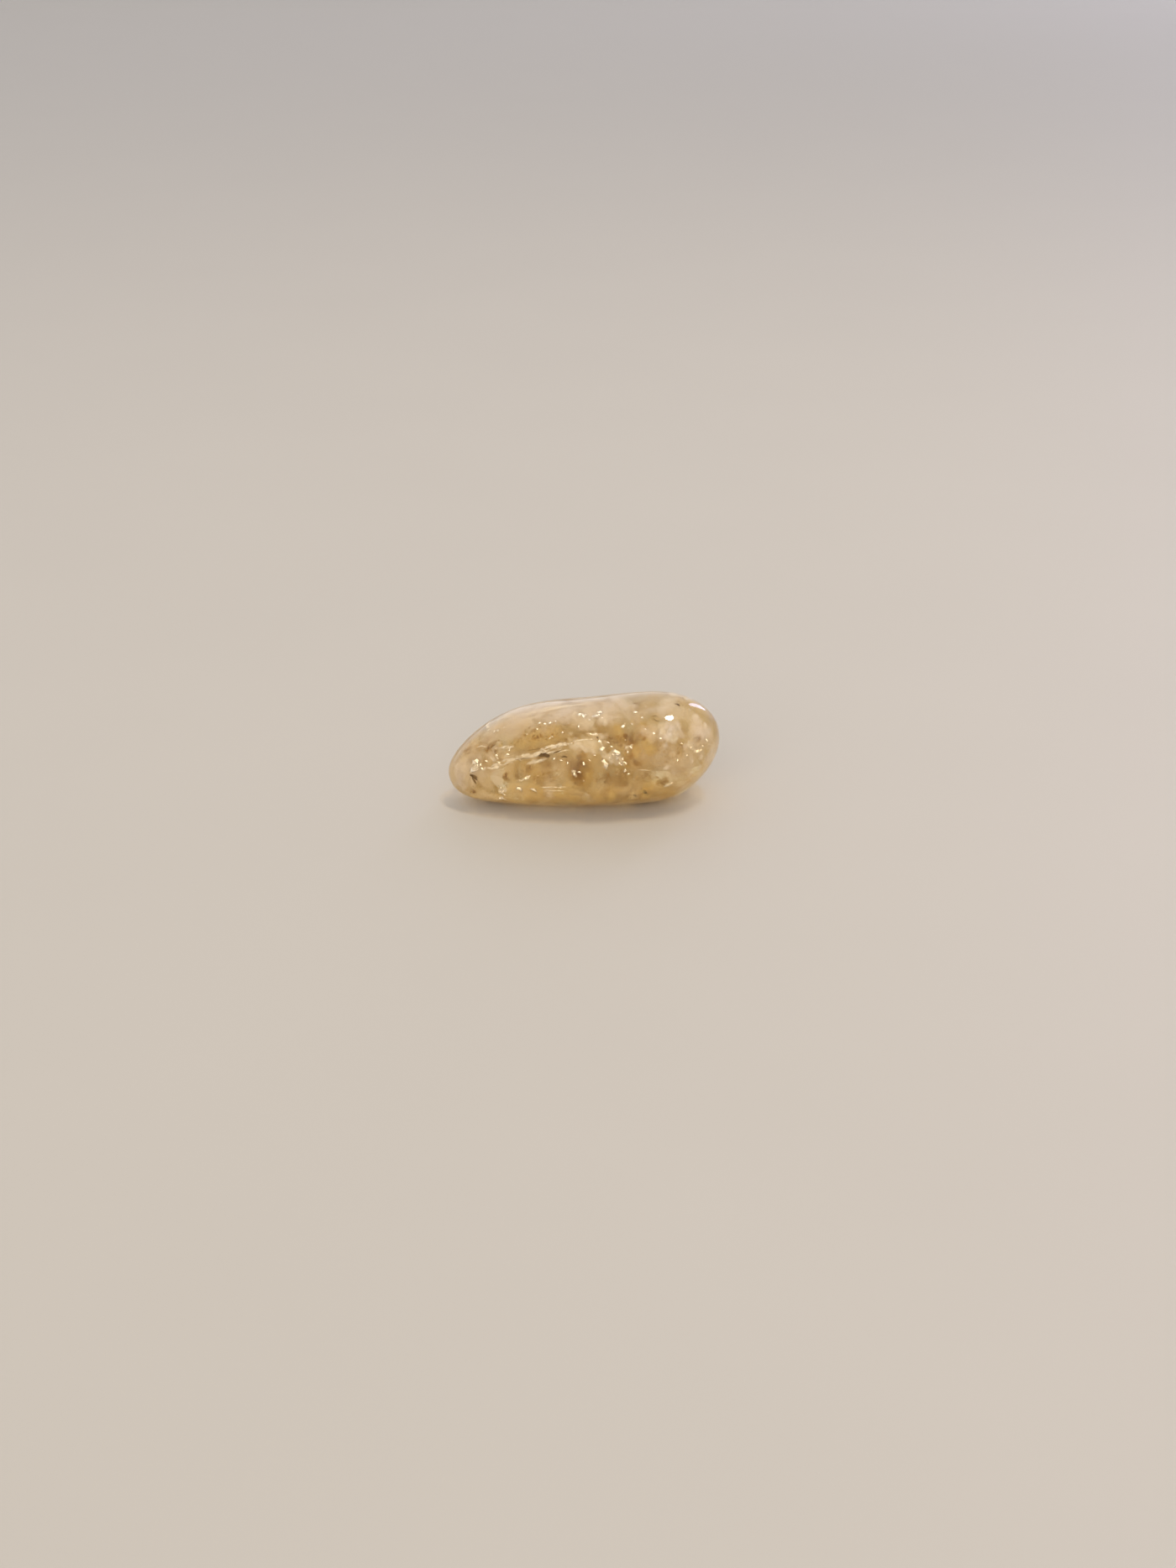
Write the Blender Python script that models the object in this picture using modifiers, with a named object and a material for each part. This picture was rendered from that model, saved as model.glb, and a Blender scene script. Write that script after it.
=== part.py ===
"""Tumbled citrine pebble: one natural stone, lying at rest on its worn underside.

Metres, +Z up. +X runs along the stone, from its narrow nose to its round end. The origin is on
the surface that the stone rests on, under the middle of its box.
"""

import math

import bmesh
import bpy
from mathutils import Vector

MM = 0.001

# Driving dimensions.
STONE_LENGTH = 28.0 * MM
BASE_WEAR = 0.18 * MM  # depth of stone worn off the underside, which leaves the flat it rests on

# Each line runs along the stone as a polynomial of u, which is -1 at the nose and 1 at the round
# end. The terms are millimetres: the value at mid-length, then the slope, the bow and so on.
WAIST_HEIGHT = (4.35, 0.85, 0.0, 0.75)  # the stone's widest line, above the resting surface
CROWN_RISE = (5.65, 0.2, 2.7, 2.3, -1.3)  # from the waist up to the top line
BELLY_DROP = (4.55, 0.75, 1.8, 1.55, 2.4)  # from the waist down to the underside
HALF_WIDTH = (7.1, 0.8, 0.1)
SIDEWAYS_SHIFT = (0.1, 0.5, -0.3)  # the middle line's way to the back

# How much fuller than an ellipse the cross-section is, as a share of its size.
CROWN_FULLNESS = 0.10
BELLY_FULLNESS = 0.20
SIDE_FULLNESS = 0.10

# Broad flats that tumbling wore on the stone: the way each one faces, then its depth and the
# softness of its edge in millimetres.
WORN_FLATS = (
    ((0.72, -0.28, -0.64), 0.6, 0.9),  # under the round end
    ((0.10, 0.90, 0.42), 0.8, 1.0),  # the back, leaning up
    ((-0.35, -0.72, 0.60), 0.4, 0.9),  # the front of the crown, near the nose
    ((0.55, 0.50, 0.67), 0.5, 0.8),  # the back of the round end
    ((-0.62, 0.62, -0.48), 0.3, 0.8),  # low behind the nose
)

# Shallow hollows and swells: the direction of each one from the middle, its spread in radians and
# its height in millimetres, which is negative for a hollow.
SWELLS = (
    ((0.0, 0.36, 0.93), 0.30, -0.36),  # the saddle in the top line
    ((0.55, -0.80, 0.25), 0.35, 0.12),  # a fuller front to the round end
    ((-0.45, 0.55, 0.70), 0.30, 0.15),  # a shoulder at the back, near the nose
    ((0.20, 0.95, -0.25), 0.30, 0.15),  # a low swell along the back
    ((-0.30, -0.85, -0.40), 0.30, -0.12),  # a dip low on the front
)

CAGE_CUTS = 5
SMOOTH_LEVELS = 2

CUTTER_MARGIN = 4.0 * MM
CUTTER_DEPTH = 6.0 * MM

CITRINE_COLOUR = (0.60, 0.38, 0.14, 1.0)
CITRINE_ROUGHNESS = 0.06
QUARTZ_IOR = 1.544
CITRINE_TRANSMISSION = 0.6

STONES_NAME = "tumbled_citrine_stone"
CUTTERS_NAME = "cutters"
STONE_NAME = "citrine_stone"


def clear_scene():
    for leftover in list(bpy.data.objects):
        bpy.data.objects.remove(leftover, do_unlink=True)


def add_collection(name):
    collection = bpy.data.collections.new(name)
    bpy.context.scene.collection.children.link(collection)
    return collection


def polynomial(terms, u):
    return sum(term * u**power for power, term in enumerate(terms))


def even_direction(corner):
    """Turns a point of the cube's grid into a direction, with the grid's cells kept near one size."""
    return Vector([math.tan(value * math.pi / 4) for value in corner]).normalized()


def pebble_point(direction):
    """The point of the stone, in millimetres, for one direction from its middle."""
    u, v, w = direction
    section = math.hypot(v, w)
    across = v / section
    upright = w / section
    if w > 0:
        reach = polynomial(CROWN_RISE, u) * (1 + CROWN_FULLNESS * across**2)
    else:
        reach = polynomial(BELLY_DROP, u) * (1 + BELLY_FULLNESS * across**2)
    width = polynomial(HALF_WIDTH, u) * (1 + SIDE_FULLNESS * upright**2)
    x = u * STONE_LENGTH / MM / 2
    y = polynomial(SIDEWAYS_SHIFT, u) + v * width
    z = polynomial(WAIST_HEIGHT, u) + w * reach
    return Vector((x, y, z))


def swell_height(direction):
    """How far the hollows and swells move the surface in one direction, in millimetres."""
    total = 0.0
    for place, spread, height in SWELLS:
        away = direction.angle(Vector(place)) / spread
        total += height * math.exp(-away * away)
    return total


def wear_flat(points, facing, depth, softness):
    """Presses the points that lie past a plane gently back to it."""
    normal = Vector(facing).normalized()
    reach = max(point.dot(normal) for point in points)
    start = reach - depth - softness
    for point in points:
        over = point.dot(normal) - start
        if over > 0:
            kept = softness * (1 - math.exp(-over / softness))
            point += normal * (kept - over)


def build_cage():
    """A cube cut into a grid and rounded to a sphere, then drawn out to the pebble's form."""
    bm = bmesh.new()
    bmesh.ops.create_cube(bm, size=2.0)
    bmesh.ops.subdivide_edges(bm, edges=bm.edges[:], cuts=CAGE_CUTS, use_grid_fill=True)
    points = []
    for vert in bm.verts:
        direction = even_direction(vert.co)
        points.append(pebble_point(direction) + direction * swell_height(direction))
    for facing, depth, softness in WORN_FLATS:
        wear_flat(points, facing, depth, softness)
    for vert, point in zip(bm.verts, points):
        vert.co = point * MM
    bmesh.ops.recalc_face_normals(bm, faces=bm.faces[:])
    mesh = bpy.data.meshes.new(STONE_NAME)
    bm.to_mesh(mesh)
    bm.free()
    mesh.shade_smooth()
    return mesh


def smoothed_box(stone):
    """The lowest and highest corners of the stone as its modifiers leave it."""
    graph = bpy.context.evaluated_depsgraph_get()
    evaluated = stone.evaluated_get(graph)
    mesh = evaluated.to_mesh()
    columns = list(zip(*(vert.co for vert in mesh.vertices)))
    evaluated.to_mesh_clear()
    lowest = Vector([min(column) for column in columns])
    highest = Vector([max(column) for column in columns])
    return lowest, highest


def settle(stone):
    """Brings the smoothed stone to its length, centres it and sinks it by the depth of its wear."""
    lowest, highest = smoothed_box(stone)
    growth = STONE_LENGTH / (highest.x - lowest.x)
    middle = (lowest + highest) / 2
    for vert in stone.data.vertices:
        vert.co.x = (vert.co.x - middle.x) * growth
        vert.co.y = (vert.co.y - middle.y) * growth
        vert.co.z = (vert.co.z - lowest.z) * growth - BASE_WEAR


def citrine_material():
    """Polished citrine, which is clear honey-yellow quartz."""
    material = bpy.data.materials.new("polished_citrine")
    material.use_nodes = True
    shader = material.node_tree.nodes["Principled BSDF"]
    shader.inputs["Base Color"].default_value = CITRINE_COLOUR
    shader.inputs["Metallic"].default_value = 0.0
    shader.inputs["Roughness"].default_value = CITRINE_ROUGHNESS
    shader.inputs["IOR"].default_value = QUARTZ_IOR
    shader.inputs["Transmission Weight"].default_value = CITRINE_TRANSMISSION
    return material


def build_stone(collection):
    stone = bpy.data.objects.new(STONE_NAME, build_cage())
    collection.objects.link(stone)
    stone.data.materials.append(citrine_material())
    smooth = stone.modifiers.new("smooth", "SUBSURF")
    smooth.levels = SMOOTH_LEVELS
    smooth.render_levels = SMOOTH_LEVELS
    settle(stone)
    return stone


def build_base_cutter(collection, stone):
    """A block below the resting surface, a little larger than the stone."""
    lowest, highest = smoothed_box(stone)
    size = highest - lowest
    bpy.ops.mesh.primitive_cube_add(size=1.0, location=(0, 0, -CUTTER_DEPTH / 2))
    cutter = bpy.context.object
    cutter.name = "base_cutter"
    cutter.scale = (size.x + CUTTER_MARGIN, size.y + CUTTER_MARGIN, CUTTER_DEPTH)
    for owner in list(cutter.users_collection):
        owner.objects.unlink(cutter)
    collection.objects.link(cutter)
    cutter.display_type = "WIRE"
    cutter.hide_render = True
    return cutter


def wear_base(stone, cutter):
    """Takes off the stone below the surface, which leaves the flat that it rests on."""
    worn = stone.modifiers.new("worn_base", "BOOLEAN")
    worn.operation = "DIFFERENCE"
    worn.solver = "EXACT"
    worn.object = cutter


def main():
    clear_scene()
    stones = add_collection(STONES_NAME)
    cutters = add_collection(CUTTERS_NAME)
    stone = build_stone(stones)
    cutter = build_base_cutter(cutters, stone)
    wear_base(stone, cutter)
    bpy.context.view_layer.update()


main()
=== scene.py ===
import math

import bmesh
import bpy
import numpy as np
from mathutils import Matrix, Vector
from mathutils.bvhtree import BVHTree


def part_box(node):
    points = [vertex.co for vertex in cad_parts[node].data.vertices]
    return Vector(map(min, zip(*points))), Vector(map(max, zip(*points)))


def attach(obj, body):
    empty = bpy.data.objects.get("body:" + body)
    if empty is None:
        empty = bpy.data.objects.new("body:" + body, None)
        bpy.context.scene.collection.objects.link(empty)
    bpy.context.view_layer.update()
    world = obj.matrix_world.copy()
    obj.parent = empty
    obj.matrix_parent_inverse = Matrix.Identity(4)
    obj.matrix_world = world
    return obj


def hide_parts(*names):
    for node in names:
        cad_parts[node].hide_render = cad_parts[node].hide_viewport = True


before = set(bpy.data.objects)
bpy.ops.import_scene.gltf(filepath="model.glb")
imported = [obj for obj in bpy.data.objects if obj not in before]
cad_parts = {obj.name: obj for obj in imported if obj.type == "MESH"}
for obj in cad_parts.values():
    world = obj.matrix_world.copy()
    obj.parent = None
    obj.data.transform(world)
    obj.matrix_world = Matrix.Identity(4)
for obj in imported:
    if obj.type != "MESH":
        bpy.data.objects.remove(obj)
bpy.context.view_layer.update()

mm = 0.001
nodeName = "citrine_stone"
stoneLow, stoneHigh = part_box(nodeName)
stoneSize = stoneHigh - stoneLow
quartzIor = 1.544


def linearColour(hexValue, strength=1.0):
    # sRGB hex to the linear numbers that the shaders take
    parts = [int(hexValue[i:i + 2], 16) / 255 for i in (1, 3, 5)]
    linear = [part / 12.92 if part <= 0.04045 else ((part + 0.055) / 1.055) ** 2.4 for part in parts]
    return (*[value * strength for value in linear], 1.0)


def perSize(millimetres):
    # noise scale for features of this real size, since object coordinates are metres
    return 1 / (millimetres * mm)


def addNode(owner, kind, values=None, links=None, stops=(), **options):
    # one node of a material or world, with its socket values, what feeds it, a ramp's stops and its other
    # settings. Colours are hex. A node feeds it from its first output, and any other output is given itself.
    node = owner.node_tree.nodes.new("ShaderNode" + kind)
    for name, value in options.items():
        setattr(node, name, value)
    for socket, value in (values or {}).items():
        node.inputs[socket].default_value = linearColour(value) if isinstance(value, str) else value
    for socket, source in (links or {}).items():
        owner.node_tree.links.new(getattr(source, "outputs", [source])[0], node.inputs[socket])
    for number, (position, *colour) in enumerate(stops):
        node.color_ramp.elements[number].position = position
        node.color_ramp.elements[number].color = linearColour(*colour)
    return node


rangeSockets = ("From Min", "From Max", "To Min", "To Max")  # of a Map Range node, in the settings' order


def emptied(owner):
    # a material or world with an empty node tree
    owner.use_nodes = True
    owner.node_tree.nodes.clear()
    return owner


def newMaterial(name):
    return emptied(bpy.data.materials.new(name))


def finishMaterial(material, surface, volume=None):
    links = {"Surface": surface, "Volume": volume} if volume else {"Surface": surface}
    addNode(material, "OutputMaterial", links=links)
    return material


def partlyClear(material, share, surface):
    # what the surface doesn't cover is clear
    clear = addNode(material, "BsdfTransparent")
    return addNode(material, "MixShader", links={0: share, 1: clear, 2: surface})


def softGlow(material, colour):
    # scatters half of the light back and lets half through. The colour is a hex one or another node.
    given = ({"Color": colour},) if isinstance(colour, str) else ({}, {"Color": colour})
    front = addNode(material, "BsdfDiffuse", *given)
    back = addNode(material, "BsdfTranslucent", *given)
    return addNode(material, "MixShader", {0: 0.5}, {1: front, 2: back})


def objectFromBmesh(bm, name, material, smooth=True):
    mesh = bpy.data.meshes.new(name)
    bm.to_mesh(mesh)
    bm.free()
    if smooth:
        mesh.shade_smooth()
    piece = bpy.data.objects.new(name, mesh)
    bpy.context.scene.collection.objects.link(piece)
    piece.data.materials.append(material)
    return piece


cameraSetup = {
    "lens": 50.0,  # mm, on a 36 mm film
    "film": 36.0,
    "imageWide": 1400,
    "imageHigh": 1867,
    "stoneAcross": 695.1,  # where the stone's middle stands in the render, in pixels
    "stoneDown": 886.2,
    "stoneMiddle": Vector((0, 0, 5.5 * mm)),
    "distance": 224.9 * mm,
    "lookDown": math.radians(21.5),  # angle at which the stone is seen
    "clip": (0.01, 20.0),  # m, nearest and farthest that it draws
}


def cameraFrame(setup):
    # place and axes of a camera that sees the stone's middle at its stated pixel
    focal = setup["imageHigh"] * setup["lens"] / setup["film"]
    across = (setup["stoneAcross"] - setup["imageWide"] / 2) / focal * setup["distance"]
    up = (setup["imageHigh"] / 2 - setup["stoneDown"]) / focal * setup["distance"]
    pitch = setup["lookDown"] + math.atan(up / setup["distance"])
    right = Vector((1, 0, 0))
    forward = Vector((0, math.cos(pitch), -math.sin(pitch)))
    upward = Vector((0, math.sin(pitch), math.cos(pitch)))
    place = setup["stoneMiddle"] - forward * setup["distance"] - right * across - upward * up
    return place, right, forward, upward, pitch


def addCamera(setup):
    place, *_, pitch = cameraFrame(setup)
    data = bpy.data.cameras.new("camera")
    data.lens = setup["lens"]
    data.sensor_width = setup["film"]
    data.clip_start, data.clip_end = setup["clip"]
    camera = bpy.data.objects.new("camera", data)
    bpy.context.scene.collection.objects.link(camera)
    camera.location = place
    camera.rotation_euler = (math.pi / 2 - pitch, 0, 0)
    bpy.context.scene.camera = camera


addCamera(cameraSetup)
print("camera placed")


studioSetup = {
    "floorRadius": 6.0,  # m
    "floorSides": 96,
    "floorRoughness": 0.6,
    "floorDrop": 0.0001,  # m, so that no face lies in the stone's base
    "floorColour": "#bfbbb4",
    "floorMottle": 40.0,  # mm
    "mottleShare": 0.96,  # brightness of its darker spots
    "lowSky": "#e0dddd",  # around the horizon
    "highSky": "#cfcac6",  # overhead
    "skyStrength": 0.90,
    "backGlow": 0.6,  # how much brighter the sky is behind the stone, as from a pale wall
    "glowFrom": 0.2,  # how far round towards the back the glow starts, where 1 is straight behind
}

lampSetup = {
    "overheadLamp": {
        "direction": (0.27, 0.10, 0.96),
        "distance": 0.60,  # m
        "size": (0.155, 0.060),  # m
        "roll": 6.0,  # degrees, which lays its reflection level
        "power": 1.1,  # W
        "colour": "#fff1dc",
    },
    "sideWindow": {
        "direction": (0.42, 0.82, 0.38),
        "distance": 2.20,
        "size": (0.42, 1.20),
        "power": 6.0,
        "colour": "#d3d6ff",
    },
    "frontFill": {
        "direction": (-0.20, -0.85, 0.36),
        "distance": 1.20,
        "size": (1.2, 0.8),
        "power": 9.0,
        "colour": "#fff4e6",
        "mirrored": False,  # it lights the front but doesn't show in the polish
    },
}


def paintedBoard(setup):
    # matt painted board: even and pale, with a faint mottle from the roller
    material = newMaterial("paintedBoard")
    place = addNode(material, "TexCoord").outputs["Object"]
    mottle = addNode(material, "TexNoise", {"Scale": perSize(setup["floorMottle"]), "Detail": 4.0},
                     {"Vector": place})
    ramp = addNode(material, "ValToRGB", links={"Fac": mottle}, stops=[
        (0, setup["floorColour"], setup["mottleShare"]), (1, setup["floorColour"])])
    shader = addNode(material, "BsdfPrincipled", {"Roughness": setup["floorRoughness"]},
                     {"Base Color": ramp})
    return finishMaterial(material, shader)


def addFloor(setup):
    bm = bmesh.new()
    bmesh.ops.create_circle(bm, cap_ends=True, segments=setup["floorSides"], radius=setup["floorRadius"])
    bmesh.ops.translate(bm, verts=bm.verts, vec=(0, 0, -setup["floorDrop"]))
    floor = objectFromBmesh(bm, "floor", paintedBoard(setup), smooth=False)


def addWorld(setup):
    # an even sky, a little brighter overhead and on the far side
    world = emptied(bpy.data.worlds.new("studio"))
    place = addNode(world, "TexCoord").outputs["Generated"]
    parts = addNode(world, "SeparateXYZ", links={"Vector": place})
    ramp = addNode(world, "ValToRGB", links={"Fac": parts.outputs["Z"]}, stops=[
        (0, setup["lowSky"]), (1, setup["highSky"])])
    glow = addNode(world, "MapRange", {
        "From Min": setup["glowFrom"], "From Max": 1.0,
        "To Min": setup["skyStrength"], "To Max": setup["skyStrength"] + setup["backGlow"]},
        {"Value": parts.outputs["Y"]}, interpolation_type="SMOOTHSTEP")
    background = addNode(world, "Background", links={"Color": ramp, "Strength": glow})
    addNode(world, "OutputWorld", links={"Surface": background})
    bpy.context.scene.world = world


def addLamp(name, setup):
    data = bpy.data.lights.new(name, "AREA")
    data.shape = "ELLIPSE"
    data.size, data.size_y = setup["size"]
    data.energy = setup["power"]
    data.color = linearColour(setup["colour"])[:3]
    lamp = bpy.data.objects.new(name, data)
    bpy.context.scene.collection.objects.link(lamp)
    lamp.visible_transmission = False  # no hard image of it shows through the stone
    lamp.visible_glossy = setup.get("mirrored", True)
    towards = Vector(setup["direction"]).normalized()
    lamp.location = cameraSetup["stoneMiddle"] + towards * setup["distance"]
    lamp.rotation_euler = towards.to_track_quat("Z", "Y").to_euler()
    lamp.rotation_euler.rotate_axis("Z", math.radians(setup.get("roll", 0.0)))


def setLightPaths():
    # enough bounces for the light to find its way through the clouds and cracks, and no caustics, whose
    # grain would show in the clear quartz
    cycles = bpy.context.scene.cycles
    cycles.max_bounces = 24
    cycles.diffuse_bounces = 4
    cycles.glossy_bounces = 8
    cycles.transmission_bounces = 12
    cycles.transparent_max_bounces = 64
    cycles.denoising_input_passes = "RGB"  # the many clear layers leave the guide passes grainy
    cycles.caustics_reflective = False
    cycles.caustics_refractive = False
    bpy.context.scene.view_settings.view_transform = "Standard"


addFloor(studioSetup)
addWorld(studioSetup)
for name, setup in lampSetup.items():
    addLamp(name, setup)
setLightPaths()
print("floor and lights placed")


skinSetup = {
    "cells": 60,  # along each edge of the grid that is laid over the stone
    "smoothPasses": 4,
    "smoothShare": 0.5,  # how far each pass moves a point towards the middle of its neighbours
    "absorbColour": "#f3e690",
    "absorbDensity": 54.0,  # per metre
    "roughness": 0.03,
    "lampTint": "#fdf3e0",
    "zones": 7.0,  # mm, between clearer and more honey-coloured quartz
    "zoneColours": [(0.35, "#fffdf8"), (0.65, "#fdf3da")],  # where each stands in the noise
    "swell": 3.0,  # mm from wave to wave
    "pitSpacing": 2.2,  # mm
    "pitShare": 0.04,  # radius of a pit as a share of the spacing
    "pitRoughness": 0.25,
    "relief": 0.003,  # mm
}


def polishedCitrine(setup):
    # citrine, tumbled to a wet-looking polish: clear honey-yellow quartz that bends what lies behind it
    material = newMaterial("polishedCitrine")
    place = addNode(material, "TexCoord").outputs["Object"]
    zones = addNode(material, "TexNoise", {"Scale": perSize(setup["zones"]), "Detail": 3.0},
                    {"Vector": place})
    honey = addNode(material, "ValToRGB", links={"Fac": zones}, stops=setup["zoneColours"])
    # the drum leaves a faint swell that bends the reflections, and here and there a tiny duller pit
    swell = addNode(material, "TexNoise", {"Scale": perSize(setup["swell"]), "Detail": 1.0},
                    {"Vector": place})
    pits = addNode(material, "TexVoronoi", {"Scale": perSize(setup["pitSpacing"])}, {"Vector": place})
    pit = addNode(material, "MapRange", {
        "From Min": 0.0, "From Max": setup["pitShare"], "To Min": 1.0, "To Max": 0.0},
        {"Value": pits}, interpolation_type="SMOOTHSTEP")
    dulled = addNode(material, "MapRange", {
        "To Min": setup["roughness"], "To Max": setup["pitRoughness"]}, {"Value": pit})
    height = addNode(material, "Math", links={0: swell, 1: pit}, operation="SUBTRACT")
    bump = addNode(material, "Bump", {"Strength": 1.0, "Distance": setup["relief"] * mm},
                   {"Height": height})
    shader = addNode(material, "BsdfPrincipled", {"IOR": quartzIor, "Transmission Weight": 1.0}, {
        "Base Color": honey, "Roughness": dulled, "Normal": bump})
    # light from lamps, and light that the clouds scatter, goes straight through the polish
    rays = addNode(material, "LightPath")
    passing = addNode(material, "BsdfTransparent", {"Color": setup["lampTint"]})
    lampMix = addNode(material, "MixShader", links={
        0: rays.outputs["Is Shadow Ray"], 1: shader, 2: passing})
    cloudMix = addNode(material, "MixShader", links={
        0: rays.outputs["Is Diffuse Ray"], 1: lampMix, 2: passing})
    tint = addNode(material, "VolumeAbsorption", {
        "Color": setup["absorbColour"], "Density": setup["absorbDensity"]})
    return finishMaterial(material, cloudMix, tint)


def treeOfNode(node):
    bm = bmesh.new()
    bm.from_mesh(node.data)
    bmesh.ops.remove_doubles(bm, verts=bm.verts, dist=0.001 * mm)
    tree = BVHTree.FromBMesh(bm)
    bm.free()
    return tree


def makeSkin(setup):
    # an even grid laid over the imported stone, then smoothed, so that the facets go
    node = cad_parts[nodeName]
    cadTree = treeOfNode(node)
    middle = (stoneLow + stoneHigh) / 2
    bm = bmesh.new()
    bmesh.ops.create_cube(bm, size=2.0)
    bmesh.ops.subdivide_edges(bm, edges=bm.edges[:], cuts=setup["cells"] - 1, use_grid_fill=True)
    for vert in bm.verts:
        even = Vector([math.tan(value * math.pi / 4) for value in vert.co]).normalized()
        outward = Vector([even[i] * stoneSize[i] for i in range(3)]).normalized()
        vert.co = cadTree.ray_cast(middle, outward)[0]
    for number in range(setup["smoothPasses"]):
        bmesh.ops.smooth_vert(bm, verts=bm.verts, factor=setup["smoothShare"],
                              use_axis_x=True, use_axis_y=True, use_axis_z=True)
    for vert in bm.verts:
        vert.co.z = max(vert.co.z, 0)
    bmesh.ops.recalc_face_normals(bm, faces=bm.faces)
    tree = BVHTree.FromBMesh(bm)
    skin = objectFromBmesh(bm, "citrineSkin", polishedCitrine(setup))
    finer = skin.modifiers.new("finer", "SUBSURF")
    finer.levels = finer.render_levels = 1
    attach(skin, "root")
    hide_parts(nodeName)
    return tree


skinTree = makeSkin(skinSetup)
print("skin made")


sealSetup = {
    "gap": 0.15,  # mm, nearest that what is sealed in the stone comes to its polish
    "crackGap": 0.1,  # mm, the same for thin cracks and flakes
    "shallowest": 0.25,  # mm, least depth along the ray of a cloud or crack that is drawn by chance
    "deepest": 0.8,  # share of the way to the far side
    "stepIn": 0.01,  # mm, past the polish before the far side is looked for
}


def bentInto(direction, normal):
    # the way a ray takes inside the quartz after it meets the polish
    facing = -direction.dot(normal)
    straight = 1 - (1 - facing * facing) / (quartzIor * quartzIor)
    return (direction / quartzIor + normal * (facing / quartzIor - math.sqrt(straight))).normalized()


def sealedAt(across, up, depth, turn=0.0):
    # the point that is seen this many mm across and up from the stone's middle, at this depth in mm along
    # the bent ray, and the way that ray runs. It's seen from the front, or from a side this many degrees
    # round from there. None where the stone isn't seen.
    place, right, forward, upward, _ = cameraFrame(cameraSetup)
    focal = cameraSetup["imageHigh"] * cameraSetup["lens"] / cameraSetup["film"]
    scale = focal / cameraSetup["distance"] * mm
    x = (cameraSetup["stoneAcross"] - cameraSetup["imageWide"] / 2 + across * scale) / focal
    y = (cameraSetup["imageHigh"] / 2 - cameraSetup["stoneDown"] + up * scale) / focal
    around = Matrix.Rotation(math.radians(turn), 3, "Z")
    place, ray = around @ place, around @ (forward + right * x + upward * y).normalized()
    enters, normal = skinTree.ray_cast(place, ray)[:2]
    if enters is None:
        return None
    inward = bentInto(ray, normal)
    room = skinTree.ray_cast(enters + inward * sealSetup["stepIn"] * mm, inward)[3] or 1 * mm
    return enters + inward * min(depth * mm, sealSetup["deepest"] * room), inward


def roomAt(point):
    # how far this point is inside the polish, and below 0 outside it
    nearest, normal = skinTree.find_nearest(point)[:2]
    return (nearest - point).dot(normal)


def drawnBack(point, gap):
    # this point, or the nearest one that is this many mm inside the polish
    nearest, normal = skinTree.find_nearest(point)[:2]
    return nearest - normal * (gap * mm) if (nearest - point).dot(normal) < gap * mm else point


def anyPointInside(draw, leastRoom):
    while True:
        point = Vector([draw.uniform(stoneLow[i], stoneHigh[i]) for i in range(3)])
        if roomAt(point) > leastRoom:
            return point


def anyDirection(draw):
    return Vector(draw.normal(size=3)).normalized()


def pointNear(draw, middle, spread, turn=0.0):
    # a sealed point drawn around a seen place, both in mm across, up and deep. Nearly all fall inside the
    # spread, as it is two standard deviations.
    while True:
        offset = draw.normal(size=3) * 0.5
        across, up, depth = [middle[i] + spread[i] * offset[i] for i in range(3)]
        found = sealedAt(across, up, max(depth, sealSetup["shallowest"]), turn)
        if found:
            return found


def ripple(waves, along, phases, across=0.0):
    # waves of different lengths laid over each other, so that a ragged line doesn't repeat. Each wave is its
    # height, and how fast it turns along and across.
    return sum(height * math.sin(rate * along + slant * across + phase)
               for (height, rate, slant), phase in zip(waves, phases))


outlineWaves = [(1.0, 2, 0), (0.6, 3, 0), (0.4, 5, 0)]


def lensTemplate(around, rings, thick, bow, twist, jagged, seed):
    # a thin closed plate one unit in radius, with a ragged outline and a bowed face. fade falls from 1 in
    # its middle to 0 at its rim.
    draw = np.random.default_rng(seed)
    phases = draw.uniform(0, 2 * math.pi, 4)
    bm = bmesh.new()
    bmesh.ops.create_uvsphere(bm, u_segments=around, v_segments=rings, radius=1.0)
    fade = []
    for vert in bm.verts:
        fade.append((1 - min(math.hypot(vert.co.x, vert.co.y), 1) ** 2) ** 1.5)
        turn = math.atan2(vert.co.y, vert.co.x)
        ragged = 1 + jagged * ripple(outlineWaves, turn, phases)
        vert.co.x *= ragged
        vert.co.y *= ragged
        across = math.hypot(vert.co.x, vert.co.y)
        vert.co.z = vert.co.z * thick + bow * across ** 2 + twist * vert.co.x * vert.co.y
        vert.co.z += 0.3 * abs(bow) * math.sin(4 * vert.co.x + phases[3])  # keeps it from being a plain bowl
    template = {
        "corners": np.array([vert.co[:] for vert in bm.verts]),
        "faces": [tuple(vert.index for vert in face.verts) for face in bm.faces],
        "fade": np.array(fade),
    }
    bm.free()
    return template


def joinCopies(name, copies, material, gap):
    # one mesh of many copies. Each copy is a template, the 3x3 of its axes, its place, and the values that
    # the material reads on it.
    points, faces, marks, start = [], [], {}, 0
    for template, axes, place, values in copies:
        points.append(template["corners"] @ axes.T + np.array(place))
        faces.extend([tuple(start + i for i in face) for face in template["faces"]])
        start += len(template["corners"])
        for mark, value in values.items():
            marks.setdefault(mark, []).append(np.broadcast_to(value, len(template["corners"])))
    mesh = bpy.data.meshes.new(name)
    mesh.from_pydata([drawnBack(Vector(point), gap) for point in np.concatenate(points)], [], faces)
    mesh.shade_smooth()
    for mark, values in marks.items():
        mesh.attributes.new(mark, "FLOAT", "POINT").data.foreach_set("value", np.concatenate(values))
    mesh.materials.append(material)
    piece = bpy.data.objects.new(name, mesh)
    bpy.context.scene.collection.objects.link(piece)
    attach(piece, "root")


def axesAlong(normal, spin, size):
    # the axes of a plate that faces along normal, turned in its own plane and scaled
    turned = Vector(normal).to_track_quat("Z", "Y").to_matrix() @ Matrix.Rotation(spin, 3, "Z")
    return np.array(turned) * np.array(size)


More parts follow.
